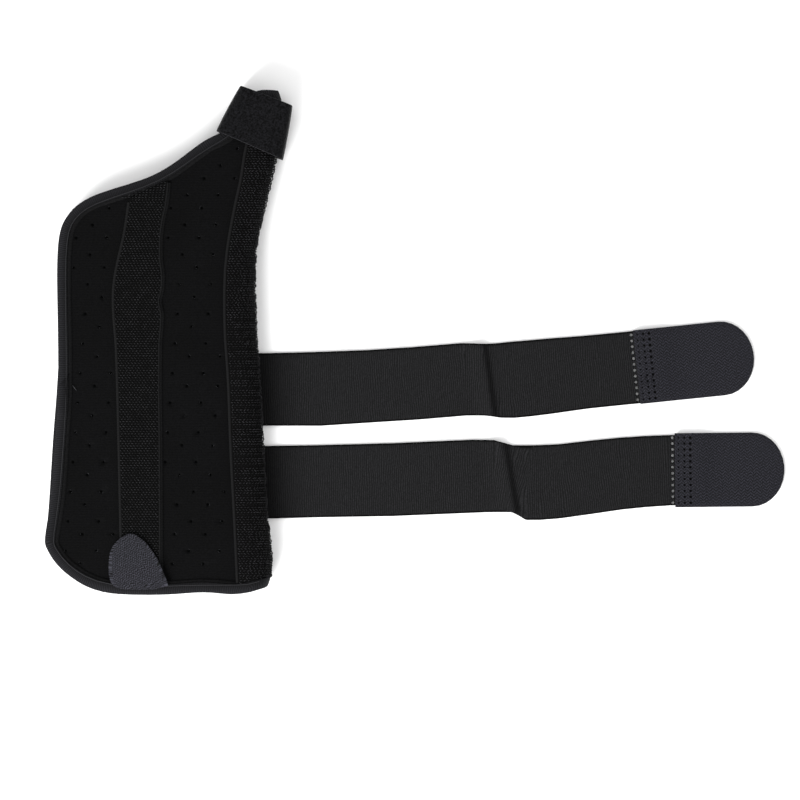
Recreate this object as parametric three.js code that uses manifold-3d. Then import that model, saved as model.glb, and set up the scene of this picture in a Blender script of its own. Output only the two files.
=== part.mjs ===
// Thumb spica splint: a folded neoprene sleeve with bound edges, two loop tapes, a thumb band,
// a pocket tab and two elastic wrist straps with hook ends. It lies flat on its back panel.
// Millimetres, +X from the bound edges to the strap tips, +Y from the hem to the thumb, +Z up.
import * as THREE from "three";
import { mergeVertices } from "three/addons/utils/BufferGeometryUtils.js";
import Module from "manifold-3d";

const wasm = await Module();
wasm.setup();

// Driving dimensions
const bodyLength = 264; // hem to the tip of the thumb stalk, bindings included
const bodyWidth = 119; // folded sleeve at the hem, the unit of every share across it
const panelWall = 3; // neoprene laminate
const foldHeight = 16; // both panels and the hollow between them, at the fold of the forearm
const stalkHeight = 15; // the same at the thumb stalk
const foldDepth = 8; // how far the rounded fold reaches in from its outermost line
const clearance = 0.3; // left between any two pieces
const bindingWall = 1.3;
const bindingLip = 4; // how far the binding reaches over the panel from its cut edge
const radialTapeWall = 1.2;
const radialTapeUnder = 7.5; // turned under the fold
const centreTapeWall = 1.2;
const centreTapeWidth = 24;
const tabWall = 1.3;
const tabWidth = 31.4;
const tabLength = 29.5;
const tabRise = 1.4; // tab's base above the panel's cut hem
const bandWall = 1.3;
const bandWidth = 38; // at the band's wrist end
const bandLength = 27.4;
const bandCorner = 4.5; // round of the folded band
const strapWall = 1.3;
const strapWidth = 38;
const upperStrapLength = 228; // root to cut end, along X
const lowerStrapLength = 248;
const strapRoot = 25; // sewn under the sleeve
const creaseHeight = 2.6; // packing crease in a strap
const hookWall = 1.5;
const hookWidth = 38.8;
const upperHookLength = 61.7;
const lowerHookLength = 57.4;
const hookTip = 17; // length of the rounded tip
const hookOverlap = 12; // sewn over the strap's end
const hookSlope = 10; // length in which a hook end comes down from the strap to the floor
const weldHole = 0.95; // radius of the see-through holes beside each hook end
const weldPitch = 3.1;
const weldCount = 12;
const hemWave = 4.2; // most that the hem rises, at the fold
const droopLength = 95; // flat width over which the front panel comes down to its bound edge

// Worked out from them
const edgeInset = bindingWall + clearance; // panel's cut edge inside the bound outline
const panelLength = bodyLength - 2 * edgeInset;
const bodyLift = Math.max(strapWall, bindingWall) + clearance;
const stalkLift = bandWall + edgeInset + clearance;
const edgeGap = 2 * bindingWall + 3 * clearance; // between the panels where they are bound
const bandHeight = stalkLift + stalkHeight + clearance + Math.max(radialTapeWall, bindingWall)
  + clearance + bandWall;
const tabHeight = 2 * clearance + Math.max(centreTapeWall, bindingWall);
const hookLift = strapWall + clearance;
const tapeStart = bindingLip + 2 * clearance; // both loop tapes start just above the hem's binding

// Outline of the folded sleeve, hem to tip. along: share of panelLength. front, back: cut edge
// of each panel; fold: the fold's outermost line; all shares of bodyWidth, from +X to -X.
const outline = [
  { along: 0.0, front: 0.74, back: 0.736, fold: 0.026 },
  { along: 0.012, front: 0.813, back: 0.809, fold: 0.018 },
  { along: 0.028, front: 0.868, back: 0.864, fold: 0.014 },
  { along: 0.048, front: 0.919, back: 0.915, fold: 0.013 },
  { along: 0.074, front: 0.96, back: 0.957, fold: 0.013 },
  { along: 0.102, front: 0.984, back: 0.982, fold: 0.018 },
  { along: 0.145, front: 0.971, back: 0.973, fold: 0.031 },
  { along: 0.185, front: 0.956, back: 0.966, fold: 0.037 },
  { along: 0.306, front: 0.937, back: 0.95, fold: 0.051 },
  { along: 0.41, front: 0.924, back: 0.932, fold: 0.064 },
  { along: 0.507, front: 0.925, back: 0.922, fold: 0.077 },
  { along: 0.643, front: 0.93, back: 0.927, fold: 0.087 },
  { along: 0.702, front: 0.925, back: 0.922, fold: 0.077 },
  { along: 0.732, front: 0.911, back: 0.908, fold: 0.062 },
  { along: 0.76, front: 0.874, back: 0.871, fold: 0.048 },
  { along: 0.778, front: 0.828, back: 0.825, fold: 0.038 },
  { along: 0.792, front: 0.767, back: 0.764, fold: 0.031 },
  { along: 0.808, front: 0.656, back: 0.653, fold: 0.024 },
  { along: 0.826, front: 0.534, back: 0.531, fold: 0.015 },
  { along: 0.851, front: 0.433, back: 0.43, fold: 0.002 },
  { along: 0.9, front: 0.288, back: 0.286, fold: -0.02 },
  { along: 0.921, front: 0.198, back: 0.197, fold: -0.029 },
  { along: 0.945, front: 0.163, back: 0.162, fold: -0.037 },
  { along: 0.973, front: 0.141, back: 0.14, fold: -0.038 },
  { along: 0.989, front: 0.106, back: 0.106, fold: -0.029 },
  { along: 0.995, front: 0.082, back: 0.082, fold: -0.0245 },
  { along: 1.0, front: 0.053, back: 0.053, fold: -0.022 },
];

// The hem's line. along: share of bodyWidth across; rise: share of hemWave.
const hem = [
  { along: 0.018, rise: 1.0 },
  { along: 0.07, rise: 0.62 },
  { along: 0.15, rise: 0.0 },
  { along: 0.203, rise: 0.12 },
  { along: 0.282, rise: 0.5 },
  { along: 0.388, rise: 0.24 },
  { along: 0.467, rise: 0.07 },
  { along: 0.626, rise: 0.07 },
  { along: 0.758, rise: 0.38 },
];

// Centre tape, hem to top. left: share of bodyWidth; wide: share of centreTapeWidth;
// lean: how much lower its left side lies, as a share of centreTapeWidth.
const centreTape = [
  { along: 0.012, left: 0.661, wide: 0.875, lean: 0.0 },
  { along: 0.121, left: 0.665, wide: 0.895, lean: 0.0 },
  { along: 0.306, left: 0.674, wide: 0.93, lean: 0.0 },
  { along: 0.386, left: 0.678, wide: 0.94, lean: 0.0 },
  { along: 0.507, left: 0.687, wide: 0.99, lean: 0.0 },
  { along: 0.551, left: 0.696, wide: 1.08, lean: 0.0 },
  { along: 0.591, left: 0.699, wide: 1.02, lean: 0.0 },
  { along: 0.617, left: 0.696, wide: 1.11, lean: 0.0 },
  { along: 0.663, left: 0.678, wide: 0.96, lean: 0.0 },
  { along: 0.73, left: 0.648, wide: 0.83, lean: 0.08 },
  { along: 0.79, left: 0.636, wide: 0.9, lean: 0.32 },
  { along: 0.825, left: 0.628, wide: 0.89, lean: 0.4 },
];

// Radial tape. left: its sewn selvage on the front, share of bodyWidth.
const radialTape = [
  { along: 0.016, left: 0.154 },
  { along: 0.145, left: 0.167 },
  { along: 0.306, left: 0.185 },
  { along: 0.426, left: 0.194 },
  { along: 0.509, left: 0.207 },
  { along: 0.581, left: 0.211 },
  { along: 0.651, left: 0.207 },
  { along: 0.7, left: 0.194 },
  { along: 0.768, left: 0.167 },
  { along: 0.832, left: 0.137 },
  { along: 0.893, left: 0.115 },
  { along: 0.96, left: 0.05 },
];

// Pocket tab, base to tip: shares of tabLength and tabWidth.
const tab = [
  { along: 0.0, left: 0.15, right: 0.79 },
  { along: 0.07, left: 0.05, right: 1.0 },
  { along: 0.22, left: 0.01, right: 0.955 },
  { along: 0.38, left: 0.0, right: 0.893 },
  { along: 0.57, left: 0.01, right: 0.81 },
  { along: 0.73, left: 0.04, right: 0.71 },
  { along: 0.875, left: 0.14, right: 0.6 },
  { along: 0.955, left: 0.24, right: 0.49 },
  { along: 1.0, left: 0.33, right: 0.43 },
];
const tabLeft = 0.712; // share of bodyWidth

// Straps, root to cut end. along: share of the strap's length; rise: its middle above the
// root's, and lean: how far its lower edge runs ahead, shares of strapWidth; wide: share of
// strapWidth; lift: share of creaseHeight.
const upperStrap = [
  { along: 0.0, rise: 0.0, wide: 1.0, lean: 0.0, lift: 0 },
  { along: 0.11, rise: 0.007, wide: 1.0, lean: 0.0, lift: 0 },
  { along: 0.22, rise: 0.014, wide: 1.02, lean: 0.02, lift: 0 },
  { along: 0.331, rise: 0.048, wide: 1.0, lean: 0.05, lift: 0 },
  { along: 0.441, rise: 0.09, wide: 1.0, lean: 0.07, lift: 0 },
  { along: 0.551, rise: 0.145, wide: 1.0, lean: 0.06, lift: 0 },
  { along: 0.595, rise: 0.14, wide: 0.99, lean: 0.03, lift: 0.35 },
  { along: 0.615, rise: 0.135, wide: 1.005, lean: 0.02, lift: 1 },
  { along: 0.633, rise: 0.13, wide: 1.03, lean: 0.02, lift: 0.45 },
  { along: 0.662, rise: 0.138, wide: 1.05, lean: 0.05, lift: 0 },
  { along: 0.744, rise: 0.186, wide: 1.035, lean: 0.08, lift: 0 },
  { along: 0.827, rise: 0.241, wide: 1.0, lean: 0.1, lift: 0 },
  { along: 0.91, rise: 0.29, wide: 0.995, lean: 0.1, lift: 0 },
  { along: 1.0, rise: 0.345, wide: 1.0, lean: 0.1, lift: 0 },
];
const lowerStrap = [
  { along: 0.0, rise: 0.0, wide: 1.0, lean: 0.0, lift: 0 },
  { along: 0.101, rise: 0.007, wide: 1.0, lean: 0.0, lift: 0 },
  { along: 0.203, rise: 0.02, wide: 0.995, lean: 0.01, lift: 0 },
  { along: 0.355, rise: 0.041, wide: 1.005, lean: 0.02, lift: 0 },
  { along: 0.456, rise: 0.069, wide: 1.005, lean: 0.06, lift: 0 },
  { along: 0.54, rise: 0.092, wide: 1.0, lean: 0.2, lift: 0 },
  { along: 0.588, rise: 0.09, wide: 0.995, lean: 0.25, lift: 0.7 },
  { along: 0.605, rise: 0.05, wide: 1.01, lean: 0.22, lift: 1 },
  { along: 0.623, rise: 0.0, wide: 1.03, lean: 0.18, lift: 0.3 },
  { along: 0.66, rise: 0.0, wide: 1.03, lean: 0.08, lift: 0 },
  { along: 0.71, rise: 0.02, wide: 1.02, lean: 0.04, lift: 0 },
  { along: 0.786, rise: 0.083, wide: 1.005, lean: 0.05, lift: 0 },
  { along: 0.837, rise: 0.124, wide: 0.99, lean: 0.04, lift: 0 },
  { along: 0.888, rise: 0.152, wide: 0.98, lean: 0.03, lift: 0 },
  { along: 0.94, rise: 0.17, wide: 0.97, lean: 0.01, lift: 0 },
  { along: 1.0, rise: 0.174, wide: 0.97, lean: 0.01, lift: 0 },
];
const upperStation = 0.407; // middle of the upper strap's root, share of bodyLength
const lowerStation = 0.223; // middle of the lower strap's root, share of bodyLength

// Thumb band, wrist end to tip end. wide: share of bandWidth; tilt: of its edge, in degrees.
const band = [
  { along: 0, wide: 1, tilt: 23.6 },
  { along: 0.5, wide: 0.9, tilt: 22.5 },
  { along: 1, wide: 0.768, tilt: 21 },
];
const bandAcross = 0.096; // middle of its wrist end, shares of bodyWidth and bodyLength
const bandAlong = 0.89;
const bandAxis = 18.7; // degrees from +Y towards +X

// A column of a table as a smooth curve through its rows that never passes beyond them
function read(table, at, column) {
  const last = table.length - 1;
  const slope = (i) => (table[i + 1][column] - table[i][column])
    / (table[i + 1].along - table[i].along);
  const tangent = (i) => {
    if (i === 0 || i === last) {
      return slope(Math.min(i, last - 1));
    }
    const product = slope(i - 1) * slope(i);
    return product <= 0 ? 0 : (2 * product) / (slope(i - 1) + slope(i));
  };
  const place = THREE.MathUtils.clamp(at, table[0].along, table[last].along);
  let i = 0;
  while (i < last - 1 && place > table[i + 1].along) {
    i += 1;
  }
  const width = table[i + 1].along - table[i].along;
  const t = (place - table[i].along) / width;
  const blend = t * t * (3 - 2 * t);
  return table[i][column] * (1 - blend) + table[i + 1][column] * blend
    + width * (tangent(i) * t * (1 - t) ** 2 - tangent(i + 1) * t * t * (1 - t));
}

// Outer face of one panel's cross-section at y above the cut hem: a polyline from the fold's
// outermost line round the fold, then across to the cut edge and straight on past it
const foldSteps = 10;
const flatSteps = 20;
const tipFullness = 0.9; // most of a narrow section's width that its fold takes
const stalkFrom = 0.72; // share of panelLength at which the sleeve begins to rise into the stalk
const stalkTo = 0.86; // share of panelLength at which it has risen
const sections = new Map();
function section(side, y) {
  const name = `${side} ${y.toFixed(5)}`;
  if (sections.has(name)) {
    return sections.get(name);
  }
  const along = THREE.MathUtils.clamp(y / panelLength, 0, 1);
  const stalk = THREE.MathUtils.smoothstep(along, stalkFrom, stalkTo);
  const lift = THREE.MathUtils.lerp(bodyLift, stalkLift, stalk);
  const half = THREE.MathUtils.lerp(foldHeight, stalkHeight, stalk) / 2;
  const fold = -bodyWidth * read(outline, along, "fold");
  const edge = -bodyWidth * read(outline, along, side);
  const depth = Math.min(foldDepth, tipFullness * (fold - edge));
  const flat = fold - depth - edge;
  const sign = side === "front" ? 1 : -1;
  const boundHeight = 2 * panelWall + edgeGap;
  const droop = side === "front" ? (2 * half - boundHeight) * Math.min(1, flat / droopLength) : 0;
  const points = [];
  for (let k = 0; k <= foldSteps; k += 1) {
    const turn = ((Math.PI / 2) * k) / foldSteps;
    points.push(new THREE.Vector2(
      fold - depth + depth * Math.cos(turn),
      lift + half + sign * half * Math.sin(turn),
    ));
  }
  for (let k = 1; k <= flatSteps; k += 1) {
    const t = k / flatSteps;
    const sag = (droop * t * t * (3 - t)) / 2;
    points.push(new THREE.Vector2(fold - depth - flat * t, lift + half + sign * half - sag));
  }
  const ahead = points.at(-1).clone().sub(points.at(-2)).normalize();
  points.push(points.at(-1).clone().addScaledVector(ahead, 4 * edgeInset));
  const reaches = [0];
  const normals = [];
  points.forEach((point, k) => {
    if (k > 0) {
      reaches.push(reaches[k - 1] + point.distanceTo(points[k - 1]));
    }
    const next = points[Math.min(k + 1, points.length - 1)];
    const step = next.clone().sub(points[Math.max(k - 1, 0)]);
    normals.push(k === 0 ? new THREE.Vector2(1, 0)
      : new THREE.Vector2(sign * step.y, -sign * step.x).normalize());
  });
  const found = { points, reaches, normals, edge: reaches[foldSteps + flatSteps], fold: reaches[foldSteps] };
  sections.set(name, found);
  return found;
}

// Point of the sleeve. reach: length round the section from the fold, positive on the front
// panel and negative on the back one; height: off the outer face, negative into the wall
function onSleeve(reach, y, height) {
  const { points, reaches, normals } = section(reach >= 0 ? "front" : "back", y);
  const length = Math.abs(reach);
  let k = 0;
  while (k < points.length - 2 && length > reaches[k + 1]) {
    k += 1;
  }
  const t = (length - reaches[k]) / (reaches[k + 1] - reaches[k]);
  const point = points[k].clone().lerp(points[k + 1], t);
  const normal = normals[k].clone().lerp(normals[k + 1], t).normalize();
  point.addScaledVector(normal, height);
  const nearHem = 1 - THREE.MathUtils.smoothstep(y, 0, bodyWidth / 4);
  const rise = hemWave * read(hem, -point.x / bodyWidth, "rise") * nearHem;
  return new THREE.Vector3(point.x, edgeInset + y + rise, point.y);
}

// Length round the front section at which it reaches a place across the sleeve
function reachAt(across, y) {
  const { points, reaches } = section("front", y);
  const x = -bodyWidth * across;
  let k = foldSteps;
  while (k < points.length - 2 && points[k + 1].x > x) {
    k += 1;
  }
  return reaches[k] + (reaches[k + 1] - reaches[k]) * ((points[k].x - x) / (points[k].x - points[k + 1].x));
}

// Rows of the sleeve, closer together where its bound edge turns
function sleeveRows(straightStep, turnStep) {
  const samples = 600;
  const edge = (k) => {
    const along = k / samples;
    return new THREE.Vector2(-bodyWidth * read(outline, along, "front"), panelLength * along);
  };
  const measure = [0];
  for (let k = 1; k <= samples; k += 1) {
    const step = edge(k).sub(edge(k - 1));
    const next = edge(Math.min(k + 1, samples)).sub(edge(Math.min(k, samples - 1)));
    const turn = Math.abs(step.angleTo(next));
    measure.push(measure[k - 1] + step.length() / straightStep + turn / turnStep);
  }
  const count = Math.round(measure[samples]);
  const rows = [];
  let k = 0;
  for (let row = 0; row <= count; row += 1) {
    const target = (measure[samples] * row) / count;
    while (k < samples && measure[k] < target - 1e-9) {
      k += 1;
    }
    rows.push((panelLength * k) / samples);
  }
  return rows;
}

// Closed wall between an outer and an inner face, from a grid of pairs of points
function wall(grid, ringed = false) {
  const rows = grid.length;
  const columns = grid[0].length;
  const positions = [0, 1].flatMap((face) => grid.flatMap((row) => row.flatMap((pair) => pair[face].toArray())));
  const index = [];
  const at = (face, i, j) => (face * rows + i) * columns + (j % columns);
  const quad = (a, b, c, d) => index.push(a, b, c, a, c, d);
  const strips = ringed ? columns : columns - 1;
  for (let j = 0; j < strips; j += 1) {
    for (let i = 0; i < rows - 1; i += 1) {
      quad(at(0, i, j), at(0, i + 1, j), at(0, i + 1, j + 1), at(0, i, j + 1));
      quad(at(1, i, j), at(1, i, j + 1), at(1, i + 1, j + 1), at(1, i + 1, j));
    }
    quad(at(0, 0, j), at(0, 0, j + 1), at(1, 0, j + 1), at(1, 0, j));
    quad(at(0, rows - 1, j), at(1, rows - 1, j), at(1, rows - 1, j + 1), at(0, rows - 1, j + 1));
  }
  for (let i = 0; i < rows - 1 && !ringed; i += 1) {
    const j = columns - 1;
    quad(at(0, i, 0), at(1, i, 0), at(1, i + 1, 0), at(0, i + 1, 0));
    quad(at(0, i, j), at(0, i + 1, j), at(1, i + 1, j), at(1, i, j));
  }
  const geometry = new THREE.BufferGeometry();
  geometry.setAttribute("position", new THREE.Float32BufferAttribute(positions, 3));
  geometry.setIndex(volume(positions, index) < 0 ? index.reverse() : index);
  return geometry;
}

function volume(positions, index) {
  const corner = (k) => new THREE.Vector3().fromArray(positions, 3 * index[k]);
  let sum = 0;
  for (let k = 0; k < index.length; k += 3) {
    sum += corner(k).dot(corner(k + 1).cross(corner(k + 2))) / 6;
  }
  return sum;
}

const pieces = new THREE.Group();
function add(name, geometry, color, roughness) {
  const material = new THREE.MeshStandardMaterial({ color, roughness, metalness: 0 });
  const mesh = new THREE.Mesh(geometry, material);
  mesh.name = name;
  pieces.add(mesh);
}

function between(from, to, count) {
  return Array.from({ length: count + 1 }, (_, k) => from + ((to - from) * k) / count);
}

// The two panels: front and back of the sleeve, meeting in a seam along the fold
const rows = sleeveRows(13, THREE.MathUtils.degToRad(15));
const foldStrips = 4;
function panel(side, flatStrips) {
  const sign = side === "front" ? 1 : -1;
  return wall(rows.map((y) => {
    const { edge, fold } = section(side, y);
    const reaches = [];
    for (let k = 0; k <= foldStrips; k += 1) {
      reaches.push(clearance / 2 + ((fold - clearance / 2) * k) / foldStrips);
    }
    for (let k = 1; k <= flatStrips; k += 1) {
      reaches.push(fold + ((edge - fold) * k) / flatStrips);
    }
    return reaches.map((reach) => [onSleeve(sign * reach, y, 0), onSleeve(sign * reach, y, -panelWall)]);
  }));
}
add("front_panel", panel("front", 7), 0x151516, 0.95);
add("back_panel", panel("back", 3), 0x151516, 0.95);

// Bindings: elastic folded over each panel's cut edge from seam to seam, in U section.
// out: distance beyond the cut edge; up: height off the panel's outer face.
const bindingSection = [
  { out: -bindingLip, up: clearance, outUp: edgeInset, outOut: -bindingLip },
  { out: 0, up: clearance, outUp: edgeInset, outOut: 0 },
  { out: clearance, up: 0, outUp: clearance + bindingWall / 2, outOut: clearance + 0.75 * bindingWall },
  { out: clearance, up: -panelWall / 2, outUp: -panelWall / 2, outOut: edgeInset },
];
const bindingProfile = [
  ...bindingSection,
  ...bindingSection.slice(0, 3).reverse().map(({ out, up, outUp, outOut }) => (
    { out, up: -panelWall - up, outUp: -panelWall - outUp, outOut })),
];
function binding(side) {
  const sign = side === "front" ? 1 : -1;
  const path = [];
  const round = [0, 0.25, 0.5, 0.75, 1];
  const hemEdge = section(side, 0);
  round.forEach((t) => path.push(new THREE.Vector2(clearance / 2 + t * (hemEdge.fold - clearance / 2), 0)));
  const hemSteps = 8;
  for (let k = 1; k < hemSteps; k += 1) {
    path.push(new THREE.Vector2(hemEdge.fold + ((hemEdge.edge - hemEdge.fold) * k) / hemSteps, 0));
  }
  rows.forEach((y) => path.push(new THREE.Vector2(section(side, y).edge, y)));
  const tipEdge = section(side, panelLength);
  [0.6, 0.3, 0].forEach((t) => path.push(
    new THREE.Vector2(clearance / 2 + t * (tipEdge.edge - clearance / 2), panelLength)));
  const outward = path.map((point, k) => {
    const before = path[Math.max(k - 1, 0)];
    const after = path[Math.min(k + 1, path.length - 1)];
    const into = (from, to) => new THREE.Vector2(to.y - from.y, from.x - to.x).normalize();
    const first = k === 0 ? into(point, after) : into(before, point);
    const second = k === path.length - 1 ? first : into(point, after);
    const mean = first.clone().add(second).normalize();
    return mean.divideScalar(Math.max(mean.dot(first), 0.7));
  });
  return wall(path.map((point, k) => bindingProfile.map(({ out, up, outUp, outOut }) => {
    const outer = point.clone().addScaledVector(outward[k], outOut);
    const inner = point.clone().addScaledVector(outward[k], out);
    return [onSleeve(sign * outer.x, outer.y, outUp), onSleeve(sign * inner.x, inner.y, up)];
  })));
}
add("front_binding", binding("front"), 0x26262a, 0.9);
add("back_binding", binding("back"), 0x26262a, 0.9);

// Strip of tape on the sleeve: each row is a list of places [reach, y]
function tape(places, base, thick) {
  return wall(places.map((row) => row.map(([reach, y]) => (
    [onSleeve(reach, y, base + thick), onSleeve(reach, y, base)]))));
}

// Centre loop tape, sewn down the front over the palmar stay
const centreRows = between(tapeStart, centreTape.at(-1).along * panelLength, 30);
add("centre_loop_tape", tape(centreRows.map((y) => {
  const along = y / panelLength;
  const left = read(centreTape, along, "left");
  const wide = (read(centreTape, along, "wide") * centreTapeWidth) / bodyWidth;
  const lean = read(centreTape, along, "lean") * centreTapeWidth;
  return [0, 0.5, 1].map((t) => {
    const there = y - lean * (1 - t);
    return [reachAt(left - wide * t, there), there];
  });
}), clearance, centreTapeWall), 0x18181a, 1);

// Radial loop tape, wrapped round the fold from the front to under the sleeve
const radialEnd = radialTape.at(-1).along * panelLength;
const radialRows = [tapeStart, ...rows.filter((y) => y > tapeStart + 1 && y < radialEnd - 1), radialEnd];
add("radial_loop_tape", tape(radialRows.map((y) => {
  const { fold } = section("front", y);
  const left = Math.max(reachAt(read(radialTape, y / panelLength, "left"), y), fold + 1);
  const round = between(1, -0.5, 6).map((share) => share * fold);
  return [left, ...round, -radialTapeUnder].map((reach) => [reach, y]);
}), clearance, radialTapeWall), 0x1a1a1c, 1);

// Pocket tab at the hem, over the centre tape and the hem's binding
add("pocket_tab", tape(tab.map(({ along, left, right }) => {
  const y = tabRise + along * tabLength;
  return between(left, right, 3).map((share) => [reachAt(tabLeft - (share * tabWidth) / bodyWidth, y), y]);
}), tabHeight, tabWall), 0x3a393d, 0.85);

// Thumb band: a closed loop of felt-like tape round the stalk, its underside flat on the floor
function bandRing(left, right, high, corner) {
  const low = bandHeight - high;
  const arc = [0, 0.33, 0.67, 1].map((t) => (t * Math.PI) / 2);
  const middle = (left + right) / 2;
  const corners = [
    { x: right - corner, z: low + corner, from: -0.5 },
    { x: right - corner, z: high - corner, from: 0 },
    { x: left + corner, z: high - corner, from: 0.5 },
    { x: left + corner, z: low + corner, from: 1 },
  ];
  const ring = corners.flatMap(({ x, z, from }) => arc.map((turn) => new THREE.Vector2(
    x + corner * Math.cos(from * Math.PI + turn),
    z + corner * Math.sin(from * Math.PI + turn),
  )));
  ring.splice(12, 0, new THREE.Vector2(left, bandHeight / 2));
  ring.splice(8, 0, new THREE.Vector2(middle, high));
  ring.splice(4, 0, new THREE.Vector2(right, bandHeight / 2));
  ring.push(new THREE.Vector2(middle, low));
  return ring;
}
const bandGrid = between(0, 1, 4).map((along) => {
  const axis = THREE.MathUtils.degToRad(bandAxis);
  const tilt = THREE.MathUtils.degToRad(read(band, along, "tilt"));
  const half = (read(band, along, "wide") * bandWidth) / 2;
  const x = -bandAcross * bodyWidth + along * bandLength * Math.sin(axis);
  const y = bandAlong * bodyLength + along * bandLength * Math.cos(axis);
  const lay = (point) => new THREE.Vector3(
    x + point.x * Math.cos(tilt),
    y - point.x * Math.sin(tilt),
    point.y,
  );
  const outer = bandRing(-half, half, bandHeight, bandCorner);
  const inner = bandRing(-half + bandWall, half - bandWall, bandHeight - bandWall, bandCorner - bandWall);
  return outer.map((point, k) => [lay(point), lay(inner[k])]);
});
add("thumb_band", wall(bandGrid, true), 0x1c1c1e, 0.95);

// A flat strip across which each row runs from its upper to its lower edge
function strip(stripRows, thick, columns) {
  return wall(stripRows.map(({ upper, lower, base }) => between(0, 1, columns).map((t) => {
    const point = upper.clone().lerp(lower, t);
    return [new THREE.Vector3(point.x, point.y, base + thick), new THREE.Vector3(point.x, point.y, base)];
  })));
}

function solid(geometry) {
  const merged = mergeVertices(geometry.clone().deleteAttribute("normal").deleteAttribute("uv"));
  return new wasm.Manifold(new wasm.Mesh({
    numProp: 3,
    vertProperties: merged.attributes.position.array,
    triVerts: Uint32Array.from(merged.index.array),
  }));
}

// Straps and their hook ends. A strap's edges at a row of its table:
function strapRow(table, length, station, along) {
  const x = along * length - strapRoot;
  const y = station * bodyLength + read(table, along, "rise") * strapWidth;
  const half = (read(table, along, "wide") * strapWidth) / 2;
  const lean = (read(table, along, "lean") * strapWidth) / 2;
  return {
    upper: new THREE.Vector2(x - lean, y + half),
    lower: new THREE.Vector2(x + lean, y - half),
    base: creaseHeight * read(table, along, "lift"),
  };
}

// Row of through holes where the hook end is welded on, just clear of its cut edge
function weldHoles(row) {
  const middle = row.upper.clone().add(row.lower).multiplyScalar(0.5);
  const down = row.lower.clone().sub(row.upper).normalize();
  return Array.from({ length: weldCount }, (_, k) => {
    const hole = new THREE.CylinderGeometry(weldHole, weldHole, 4 * strapWall, 10);
    hole.rotateX(Math.PI / 2);
    const place = middle.clone().addScaledVector(down, (k - (weldCount - 1) / 2) * weldPitch);
    return hole.translate(place.x, place.y, strapWall / 2);
  });
}

function strap(name, table, length, station, hookLength) {
  const seam = 1 - hookOverlap / length;
  const holeLine = seam - (weldHole + clearance) / length;
  const stops = table.map((row) => row.along);
  const extra = [0.05, 0.16, 0.575, 0.64, 0.7].filter((at) => stops.every((stop) => Math.abs(stop - at) > 0.008));
  const all = [...stops, ...extra].sort((a, b) => a - b);
  const stripRows = all.map((along) => strapRow(table, length, station, along));
  let body = solid(strip(stripRows, strapWall, 2));
  weldHoles(strapRow(table, length, station, holeLine)).forEach((hole) => {
    body = body.subtract(solid(hole));
  });
  const { vertProperties, triVerts } = body.getMesh();
  const geometry = new THREE.BufferGeometry();
  geometry.setAttribute("position", new THREE.Float32BufferAttribute(vertProperties, 3));
  geometry.setIndex(Array.from(triVerts));
  add(`${name}_strap`, geometry, 0x28282a, 0.9);

  const root = strapRow(table, length, station, seam);
  const end = strapRow(table, length, station, 1);
  const middle = root.upper.clone().add(root.lower).multiplyScalar(0.5);
  const ahead = end.upper.clone().add(end.lower).multiplyScalar(0.5).sub(middle).normalize();
  const side = new THREE.Vector2(-ahead.y, ahead.x);
  const straight = [0, hookOverlap + clearance, hookOverlap + hookSlope / 2, hookOverlap + hookSlope];
  const round = between(0, 1, 7).map((t) => hookLength - hookTip * (1 - Math.sin(0.47 * Math.PI * t)));
  const hookRows = [...straight, ...round].map((along) => {
    const past = Math.max(0, (along - hookLength + hookTip) / hookTip);
    const half = (hookWidth / 2) * Math.sqrt(1 - past * past);
    const centre = middle.clone().addScaledVector(ahead, along);
    const down = THREE.MathUtils.smoothstep(along, hookOverlap + clearance, hookOverlap + hookSlope);
    return {
      upper: centre.clone().addScaledVector(side, half),
      lower: centre.clone().addScaledVector(side, -half),
      base: hookLift * (1 - down),
    };
  });
  add(`${name}_hook_end`, strip(hookRows, hookWall, 2), 0x2e2e31, 0.8);
}
strap("upper", upperStrap, upperStrapLength, upperStation, upperHookLength);
strap("lower", lowerStrap, lowerStrapLength, lowerStation, lowerHookLength);

// The origin is under the middle of the whole part
const splint = new THREE.Group();
splint.add(pieces);
const box = new THREE.Box3().setFromObject(pieces);
pieces.position.set(-(box.min.x + box.max.x) / 2, -(box.min.y + box.max.y) / 2, -box.min.z);
export default splint;
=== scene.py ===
import math

import bmesh
import bpy
import numpy as np
from mathutils import Matrix, Vector
from mathutils.bvhtree import BVHTree


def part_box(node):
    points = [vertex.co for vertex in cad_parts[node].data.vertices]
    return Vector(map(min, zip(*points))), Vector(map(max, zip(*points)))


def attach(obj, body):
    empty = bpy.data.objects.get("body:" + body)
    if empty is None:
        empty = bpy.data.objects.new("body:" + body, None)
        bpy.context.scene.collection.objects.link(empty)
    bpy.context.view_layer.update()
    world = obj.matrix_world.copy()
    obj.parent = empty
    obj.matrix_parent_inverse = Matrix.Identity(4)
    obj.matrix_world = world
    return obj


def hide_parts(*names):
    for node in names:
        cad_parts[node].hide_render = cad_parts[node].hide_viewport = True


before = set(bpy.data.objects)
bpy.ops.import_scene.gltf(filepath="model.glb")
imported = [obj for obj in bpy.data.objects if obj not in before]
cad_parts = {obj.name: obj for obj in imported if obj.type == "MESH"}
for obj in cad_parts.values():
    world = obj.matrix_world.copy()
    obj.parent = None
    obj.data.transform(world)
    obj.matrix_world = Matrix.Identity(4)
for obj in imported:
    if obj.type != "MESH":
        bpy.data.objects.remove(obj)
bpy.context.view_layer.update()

scene = bpy.context.scene
mm = 0.001

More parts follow.
